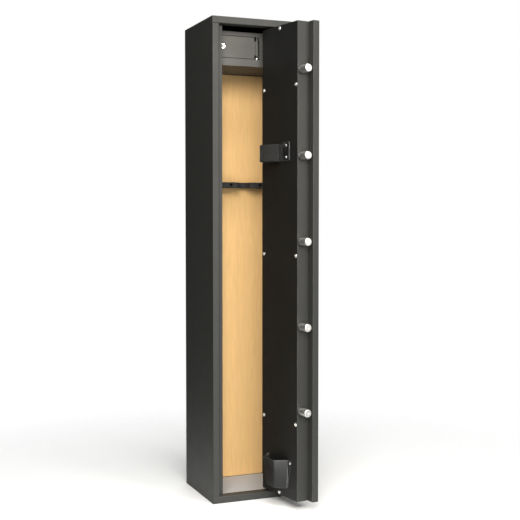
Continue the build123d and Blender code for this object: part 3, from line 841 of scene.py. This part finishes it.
def make_clamp_plate():
    """Clamp plate over the strap's end, with a toothed edge that grips the webbing."""
    size = bpy.context.scene.safe_fittings
    low, high = shut_box("strap_bracket")
    teeth = round((high.z - low.z) / size.tooth_pitch)
    pitch = (high.z - low.z) / teeth
    corner, edge_rounding = 0.003, 0.00035
    outline = [(high.x, low.z + corner), (high.x, high.z - corner),
               (high.x - corner, high.z), (low.x + size.tooth_depth, high.z)]
    for tooth in reversed(range(teeth)):
        root = low.z + tooth * pitch
        outline += [(low.x, root + pitch * 0.72), (low.x, root + pitch * 0.28),
                    (low.x + size.tooth_depth, root)]
    outline.append((high.x - corner, low.z))
    bm = prism(outline, high.y - low.y, low.y)
    soften(bm, edge_rounding)
    finished(bm, "toothed_clamp_plate", "bracket_paint", "door", door_open, ["strap_bracket"])


def make_muzzle_pocket():
    """Pocket folded from one sheet: two ears, two slanted sides, a front and a floor."""
    low, high = pocket_box
    sheet = bpy.context.scene.safe_fittings.pocket_sheet
    centre, width, reach = (low.x + high.x) / 2, high.x - low.x, high.y - low.y
    slope = reach * 0.525
    fold_radius, ear_radius, edge_rounding = 0.0035, 0.009, 0.0003
    bm = bmesh.new()

    def row(z, ear, half, front):
        """Points of the sheet's middle at one height, from ear to ear."""
        spots = [(-ear, 0.0), (-half - slope, 0.0), (-half, front), (half, front),
                 (half + slope, 0.0), (ear, 0.0)]
        return [bm.verts.new((centre + x, low.y + sheet / 2 + y - (sheet if y else 0.0), z))
                for x, y in spots]

    lower = row(low.z + sheet / 2, width * 0.34, reach * 0.6, reach * 0.775)
    upper = row(high.z, width / 2, reach * 0.75, reach)
    for side in range(5):
        bm.faces.new((lower[side], lower[side + 1], upper[side + 1], upper[side]))
    bm.faces.new(lower[1:5])
    folds = [edge for edge in bm.edges if len(edge.link_faces) == 2]
    rounded(bm, folds, fold_radius, 5)
    tips = [vert for vert in bm.verts if abs(abs(vert.co.x - centre) - width / 2) < 1e-4]
    rounded(bm, tips, ear_radius, 6, "VERTICES")
    pocket = finished(bm, "folded_muzzle_pocket", "bracket_paint", "door", door_open,
                      ["muzzle_pocket"])
    thicken(pocket, sheet, edge_rounding, 40)


def make_handle():
    """Waisted grip on a turned neck, and the stepped rose under it."""
    grip_low, grip_high = shut_box("door_handle")
    rose_low, rose_high = shut_box("handle_rose")
    door_face = shut_box("door_outer_plate")[0].y
    centre = middle((grip_low, grip_high))
    half, width, thick = (grip_high.z - grip_low.z) / 2, 0.02, 0.0165
    # Half width as a share of the width, and height as a share of half the grip.
    ends = [(0.0, -1.0), (0.22, -0.985), (0.38, -0.93), (0.47, -0.84), (0.5, -0.72),
            (0.46, -0.45), (0.42, -0.2)]
    profile = [(width * reach, half * height) for reach, height in ends]
    profile += [(width * reach, -half * height) for reach, height in reversed(ends)]
    grip = turned(profile)
    bmesh.ops.scale(grip, vec=(1.0, thick / width, 1.0), verts=grip.verts)
    bmesh.ops.translate(grip, vec=(centre.x, grip_low.y + thick / 2, centre.z), verts=grip.verts)
    seat, sunk = rose_low.y - grip_low.y - thick * 0.6, 0.0003
    neck = turned([(0.0, 0.0), (0.0102, 0.0), (0.0105, 0.0012), (0.0088, 0.004),
                   (0.0082, seat * 0.6), (0.0092, seat), (0.0, seat)])
    placed(neck, facing((centre.x, rose_low.y - sunk, centre.z), (0, -1, 0)))
    finished(joined([grip, neck]), "waisted_door_handle", "chrome_plate", "handle", door_open,
             ["door_handle"])

    spindle_low, spindle_high = shut_box("handle_spindle")
    bore, mouth, sleeve = (spindle_high.z - spindle_low.z) / 2 + 0.0001, 0.0005, 0.009
    radius, flange = (rose_high.z - rose_low.z) / 2, door_face - rose_low.y
    tail = rose_high.y - door_face
    rose = turned([(bore, -tail), (sleeve, -tail), (sleeve, 0.0), (radius, 0.0),
                   (radius, flange * 0.35), (radius - 0.0014, flange * 0.6),
                   (radius - 0.0042, flange * 0.72), (radius - 0.0055, flange * 0.95),
                   (radius - 0.0072, flange), (bore + mouth, flange), (bore, flange - mouth)],
                  ring=True)
    place = door_open @ facing((centre.x, door_face, centre.z), (0, -1, 0))
    finished(rose, "stepped_handle_rose", "chrome_plate", "door", place, ["handle_rose"])


def make_locker_lock():
    """Turned barrel of the locker's key lock with its dished bezel and hexagon nut."""
    low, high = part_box("locker_lock_cylinder")
    plug_low, plug_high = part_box("locker_lock_plug")
    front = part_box("locker_door")[0].y
    centre = middle((plug_low, plug_high))
    bore = (plug_high.x - plug_low.x) / 2 + 0.00006
    sleeve, bezel, rim = 0.007, 0.009, 0.0014
    proud, tail = front - low.y, high.y - front
    barrel = turned([(bore, -tail), (sleeve, -tail), (sleeve, 0.0), (bezel, 0.0),
                     (bezel, proud * 0.45), (bezel - 0.0005, proud * 0.8), (bezel - rim, proud),
                     (bore + rim, proud * 0.92), (bore, proud * 0.55)], ring=True)
    hole, corner, nut_back, nut_front = 0.00695, 0.0121, -0.0103, -0.0063
    nut = turned([(hole, nut_back), (corner, nut_back), (corner, nut_front), (hole, nut_front)],
                 ring=True)
    to_hexagon(nut, 0.95 * corner, 1.03 * corner)
    place = facing((centre.x, front, centre.z), (0, -1, 0))
    finished(joined([barrel, nut]), "bezelled_locker_lock", "chrome_plate", "locker_leaf", place,
             ["locker_lock_cylinder"])


# ---- soft pieces
def strap_line(grow=0.0, start=-90.0, end=268.0, tail=True):
    """Middle line of the strap with the door shut: its flat tail, then once round the loop.

    A line further out grows by a distance; start and end are degrees round the loop.
    """
    size = bpy.context.scene.safe_fittings
    low, high = strap_box
    web, sag, tail_steps, degrees_a_step = size.webbing_thickness, 0.0022, 14, 4
    centre_x, centre_y = high.x - size.strap_loop_width, (low.y + high.y) / 2
    half_x = size.strap_loop_width - web / 2 + grow
    half_y = (high.y - low.y) / 2 - web / 2 + grow
    points = []
    if tail:
        points = [(low.x + (centre_x - low.x) * step / tail_steps, low.y + web / 2, low.z)
                  for step in range(tail_steps)]
    turns = round((end - start) / degrees_a_step)
    for step in range(turns + 1):
        angle = start + (end - start) * step / turns
        sideways, outwards = cos(radians(angle)), sin(radians(angle))
        y = centre_y + half_y * outwards
        if angle > 180:
            y = max(y, low.y + 1.6 * web)
        droop = sag * (y - low.y) / (high.y - low.y) * (0.5 + 0.5 * outwards)
        points.append((centre_x + half_x * sideways, y, low.z - droop))
    return points


def make_barrel_strap():
    """Webbing loop with the sewn hook-and-loop patch that closes it."""
    size = bpy.context.scene.safe_fittings
    width = strap_box[1].z - strap_box[0].z
    bm, length = ribbon(strap_line(), width, 12)
    strap = finished(bm, "webbing_strap", "webbing", "door", door_open, ["barrel_strap"])
    thicken(strap, size.webbing_thickness, 0.0005, 50)

    thickness, clearance, inset = 0.0013, 0.00005, 0.0015
    clear = size.webbing_thickness / 2 + thickness / 2 + clearance
    line = [(x, y, z + inset) for x, y, z in strap_line(clear, 40.0, 124.0, tail=False)]
    bm, _ = ribbon(line, width - 2 * inset, 10)
    patch = finished(bm, "strap_closing_patch", "webbing", "door", door_open)
    thicken(patch, thickness, 0.0003, 50)

    stitches = make_stitches(line, width - 2 * inset, thickness / 2)


def make_stitches(line, width, proud):
    """Two rows of stitches along the patch, and one across each end."""
    length, thread, gap, margin, inset = 0.0026, 0.0004, 0.0038, 0.0022, 0.0004
    into_loop = (0.02, -0.008)
    up = Vector((0.0, 0.0, 1.0))
    points = [Vector(point) for point in line]
    spots = []
    for row in (margin, width - margin):
        for start, end in zip(points[1:-1], points[2:-1]):
            spots.append(((start + end) / 2 + up * row, (end - start).normalized()))
    for start, end in (points[1:3], points[-3:-1]):
        along = (end - start).normalized()
        for step in range(1, int((width - 2 * margin) / gap)):
            spots.append((start + up * (margin + step * gap) + along * inset, up))
    inside = Vector([sum(point[axis] for point in line) / len(line) + into_loop[axis]
                     for axis in range(2)])
    shape = Matrix.Diagonal((length / 2, thread, thread, 1.0))
    bm = bmesh.new()
    for spot, along in spots:
        outward = (spot.xy - inside).normalized().to_3d()
        turn = along.to_track_quat("X", "Z").to_matrix().to_4x4()
        place = Matrix.Translation(spot + outward * proud) @ turn @ shape
        bmesh.ops.create_icosphere(bm, subdivisions=1, radius=1.0, matrix=place)
    return finished(bm, "strap_stitching", "webbing", "door", door_open, surface="sewing_thread")


def make_floor_mat():
    """Cut felt mat with an uneven face and soft edges."""
    relief = bpy.context.scene.safe_fittings.felt_relief
    low, high = mat_box
    size = high - low
    soft_width, soft_depth = 0.0035, 0.0016
    bm = bmesh.new()
    bmesh.ops.create_grid(bm, x_segments=120, y_segments=104, size=0.5)
    bmesh.ops.scale(bm, vec=(size.x, size.y, 1.0), verts=bm.verts)
    bmesh.ops.translate(bm, vec=(*middle(mat_box).xy, low.z), verts=bm.verts)
    top = points_of(bmesh.ops.extrude_face_region(bm, geom=bm.faces[:])["geom"])
    bmesh.ops.translate(bm, vec=(0.0, 0.0, size.z - relief), verts=top)
    for vert in top:
        x, y = vert.co.xy
        spot = Vector((x, y, 0.0))
        edge = min(x - low.x, high.x - x, y - low.y, high.y - y)
        wave = noise.noise(spot * 22.0) * 0.6 + noise.noise(spot * 260.0) * 0.4
        vert.co.z += relief * wave - max(0.0, 1.0 - edge / soft_width) ** 2 * soft_depth
    mat = finished(bm, "felt_floor_mat", "floor_felt", "body", None, ["floor_mat"])


# ---- painting and stage
def paint_frame():
    """Give every node of the frame the finish of its slot, with two parts made darker: the locker knuckles take
    the dark body paint as painted shade in the band beside the locker door, and the lock plug takes bare steel.
    """
    # The knuckles' dark paint is painted shade for the recess beside the locker door; the plug's bare steel is its
    # own metal.
    painted_shade_and_bare_plug = {"locker_knuckles": "body_paint", "locker_lock_plug": "bare_steel"}
    for node, slot in slot_of.items():
        materials = frame["nodes"][node].data.materials
        materials.clear()
        materials.append(finish(painted_shade_and_bare_plug.get(node, slot)))


def soft_light(name, place, target, size, power, colour):
    """Rectangular light at a place, turned to a target."""
    data = bpy.data.lights.new(name, "AREA")
    data.shape = "RECTANGLE"
    data.size, data.size_y = size
    data.energy = power
    data.color = colour
    light = linked(name, data)
    light.location = place
    light.rotation_euler = (Vector(target) - light.location).to_track_quat("-Z", "Y").to_euler()


def around(heading, elevation, distance, target):
    """Point seen from the target at a heading from -Y towards +X."""
    turn, rise = radians(heading), radians(elevation)
    way = Vector((sin(turn) * cos(rise), -cos(turn) * cos(rise), sin(rise)))
    return Vector(target) + way * distance


def make_floor():
    """Pale round floor that fades out at its rim."""
    bm = bmesh.new()
    bmesh.ops.create_circle(bm, cap_ends=True, segments=96, radius=3.6)
    mesh = bpy.data.meshes.new("studio_floor")
    bm.to_mesh(mesh)
    bm.free()
    material, tree, shader = new_surface("studio_floor", Roughness=0.85, Specular_IOR_Level=0.1)
    inputs = {0: object_place(tree)}
    reach = add_node(tree, "VectorMath", inputs, operation="LENGTH").outputs["Value"]
    near, far = (0.86, 0.86, 0.85), (0.93, 0.93, 0.93)
    tone = blend(tree, spread(tree, reach, 0.4, 2.0), near, far)
    connect(tree, shader, Base_Color=tone, Alpha=spread(tree, reach, 1.4, 0.25))
    mesh.materials.append(material)
    linked("studio_floor", mesh)


def make_room():
    """White backdrop for the camera and a dim even light for everything else."""
    world = bpy.data.worlds.new("studio")
    world.use_nodes = True
    tree = world.node_tree
    tree.nodes.clear()
    white, dim = (add_node(tree, "Background", {"Color": (1.0, 1.0, 1.0), "Strength": strength})
                  for strength in (1.0, bpy.context.scene.safe_stage.room_light))
    seen = add_node(tree, "LightPath").outputs["Is Camera Ray"]
    mixed = add_node(tree, "MixShader", {0: seen, 1: dim.outputs[0], 2: white.outputs[0]})
    add_node(tree, "OutputWorld", {0: mixed.outputs[0]}).is_active_output = True
    bpy.context.scene.world = world


def make_stage():
    """Floor, backdrop, soft lights and camera."""
    stage = bpy.context.scene.safe_stage
    safe = middle(cad_box)
    make_floor()
    make_room()
    for name, place, target, size, colour in (
            ("key", around(-9, 25, 3.3, safe), safe, (1.7, 1.0), (1.0, 0.965, 0.91)),
            ("side", around(-30, 22, 3.3, safe), safe, (1.0, 1.4), (1.0, 0.97, 0.92)),
            ("fill", around(42, 3, 3.0, safe), safe, (1.2, 2.2), (1.0, 0.985, 0.94)),
            ("rim", around(24, 20, 3.3, safe), safe, (0.7, 1.2), (1.0, 0.95, 0.88)),
            ("low", (-0.35, -2.1, 0.35), (0.0, 0.0, 0.2), (1.4, 0.6), (0.92, 0.97, 1.0)),
            ("top", (-0.2, -1.1, 3.2), (-0.1, -0.8, 0.0), (1.8, 1.8), (0.96, 0.98, 1.0)),
            ("back", around(160, 30, 3.3, safe), safe, (1.6, 1.6), (0.96, 0.98, 1.0))):
        soft_light(name + "_light", place, target, size, getattr(stage, name + "_power"), colour)
    data = bpy.data.cameras.new("camera")
    data.lens = stage.lens
    data.sensor_width = 36.0
    data.clip_end = 50.0
    camera = linked("camera", data)
    camera.location = stage.camera_place
    camera.rotation_euler = (pi / 2 - stage.camera_pitch, 0.0, -stage.camera_heading)
    bpy.context.scene.camera = camera
    bpy.context.scene.view_settings.view_transform = "Standard"


# ---- operators and panel
class GUN_SAFE_OT_paint_frame(bpy.types.Operator):
    """Give every part of the frame its finish."""

    bl_idname = "gun_safe.paint_frame"
    bl_label = "Paint the sheet metal"
    bl_options = {"REGISTER", "UNDO"}

    def execute(self, context):
        paint_frame()
        return {"FINISHED"}


class GUN_SAFE_OT_locking_bolts(bpy.types.Operator):
    """Turn the locking bolts."""

    bl_idname = "gun_safe.locking_bolts"
    bl_label = "Locking bolts"
    bl_options = {"REGISTER", "UNDO"}

    def execute(self, context):
        make_locking_bolts()
        return {"FINISHED"}


class GUN_SAFE_OT_guide_bushes(bpy.types.Operator):
    """Make the bushes round the bolts."""

    bl_idname = "gun_safe.guide_bushes"
    bl_label = "Guide bushes"
    bl_options = {"REGISTER", "UNDO"}

    def execute(self, context):
        make_guide_bushes()
        return {"FINISHED"}


class GUN_SAFE_OT_fixings(bpy.types.Operator):
    """Make the screw and rivet heads."""

    bl_idname = "gun_safe.fixings"
    bl_label = "Screws and rivets"
    bl_options = {"REGISTER", "UNDO"}

    def execute(self, context):
        make_fixings()
        return {"FINISHED"}


class GUN_SAFE_OT_clamp_plate(bpy.types.Operator):
    """Make the plate over the strap's end, and the bare steel clip that stands in for the highlight along its
    toothed edge.
    """

    bl_idname = "gun_safe.clamp_plate"
    bl_label = "Clamp plate"
    bl_options = {"REGISTER", "UNDO"}

    def execute(self, context):
        make_clamp_plate()
        make_spring_clip()
        return {"FINISHED"}


class GUN_SAFE_OT_muzzle_pocket(bpy.types.Operator):
    """Fold the muzzle pocket."""

    bl_idname = "gun_safe.muzzle_pocket"
    bl_label = "Muzzle pocket"
    bl_options = {"REGISTER", "UNDO"}

    def execute(self, context):
        make_muzzle_pocket()
        return {"FINISHED"}


class GUN_SAFE_OT_handle(bpy.types.Operator):
    """Make the handle and its rose."""

    bl_idname = "gun_safe.handle"
    bl_label = "Door handle"
    bl_options = {"REGISTER", "UNDO"}

    def execute(self, context):
        make_handle()
        return {"FINISHED"}


class GUN_SAFE_OT_locker_lock(bpy.types.Operator):
    """Turn the locker's lock barrel."""

    bl_idname = "gun_safe.locker_lock"
    bl_label = "Locker lock"
    bl_options = {"REGISTER", "UNDO"}

    def execute(self, context):
        make_locker_lock()
        return {"FINISHED"}


class GUN_SAFE_OT_barrel_strap(bpy.types.Operator):
    """Sew the strap and its patch."""

    bl_idname = "gun_safe.barrel_strap"
    bl_label = "Barrel strap"
    bl_options = {"REGISTER", "UNDO"}

    def execute(self, context):
        make_barrel_strap()
        return {"FINISHED"}


class GUN_SAFE_OT_floor_mat(bpy.types.Operator):
    """Lay the felt mat."""

    bl_idname = "gun_safe.floor_mat"
    bl_label = "Floor mat"
    bl_options = {"REGISTER", "UNDO"}

    def execute(self, context):
        make_floor_mat()
        return {"FINISHED"}


class GUN_SAFE_OT_stage(bpy.types.Operator):
    """Set the floor, lights and camera."""

    bl_idname = "gun_safe.stage"
    bl_label = "Studio"
    bl_options = {"REGISTER", "UNDO"}

    def execute(self, context):
        make_stage()
        return {"FINISHED"}


class GUN_SAFE_PT_panel(bpy.types.Panel):
    """Lists the safe's settings and the operators that make its pieces."""

    bl_label = "Gun Safe"
    bl_idname = "GUN_SAFE_PT_panel"
    bl_space_type = "VIEW_3D"
    bl_region_type = "UI"
    bl_category = "Gun Safe"

    def draw(self, context):
        for settings in setting_groups:
            group = getattr(context.scene, settings)
            box = self.layout.box()
            for name in group.__annotations__:
                box.prop(group, name)
        for made in operators:
            self.layout.operator(made.bl_idname)


operators = (GUN_SAFE_OT_paint_frame, GUN_SAFE_OT_locking_bolts, GUN_SAFE_OT_guide_bushes,
             GUN_SAFE_OT_fixings, GUN_SAFE_OT_clamp_plate, GUN_SAFE_OT_muzzle_pocket,
             GUN_SAFE_OT_handle, GUN_SAFE_OT_locker_lock, GUN_SAFE_OT_barrel_strap,
             GUN_SAFE_OT_floor_mat, GUN_SAFE_OT_stage)
setting_groups = {"safe_finish": SafeFinishSettings, "safe_fittings": SafeFittingSettings,
                  "safe_stage": SafeStageSettings}
classes = (*setting_groups.values(), *operators, GUN_SAFE_PT_panel)


def register():
    for item in classes:
        bpy.utils.register_class(item)
    for name, group in setting_groups.items():
        setattr(bpy.types.Scene, name, PointerProperty(type=group))


def unregister():
    for name in setting_groups:
        delattr(bpy.types.Scene, name)
    for item in reversed(classes):
        bpy.utils.unregister_class(item)


def main():
    """Make the whole safe."""
    register()
    for made in operators:
        name = made.bl_idname.split(".")[1]
        getattr(bpy.ops.gun_safe, name)()


if __name__ == "__main__":
    main()
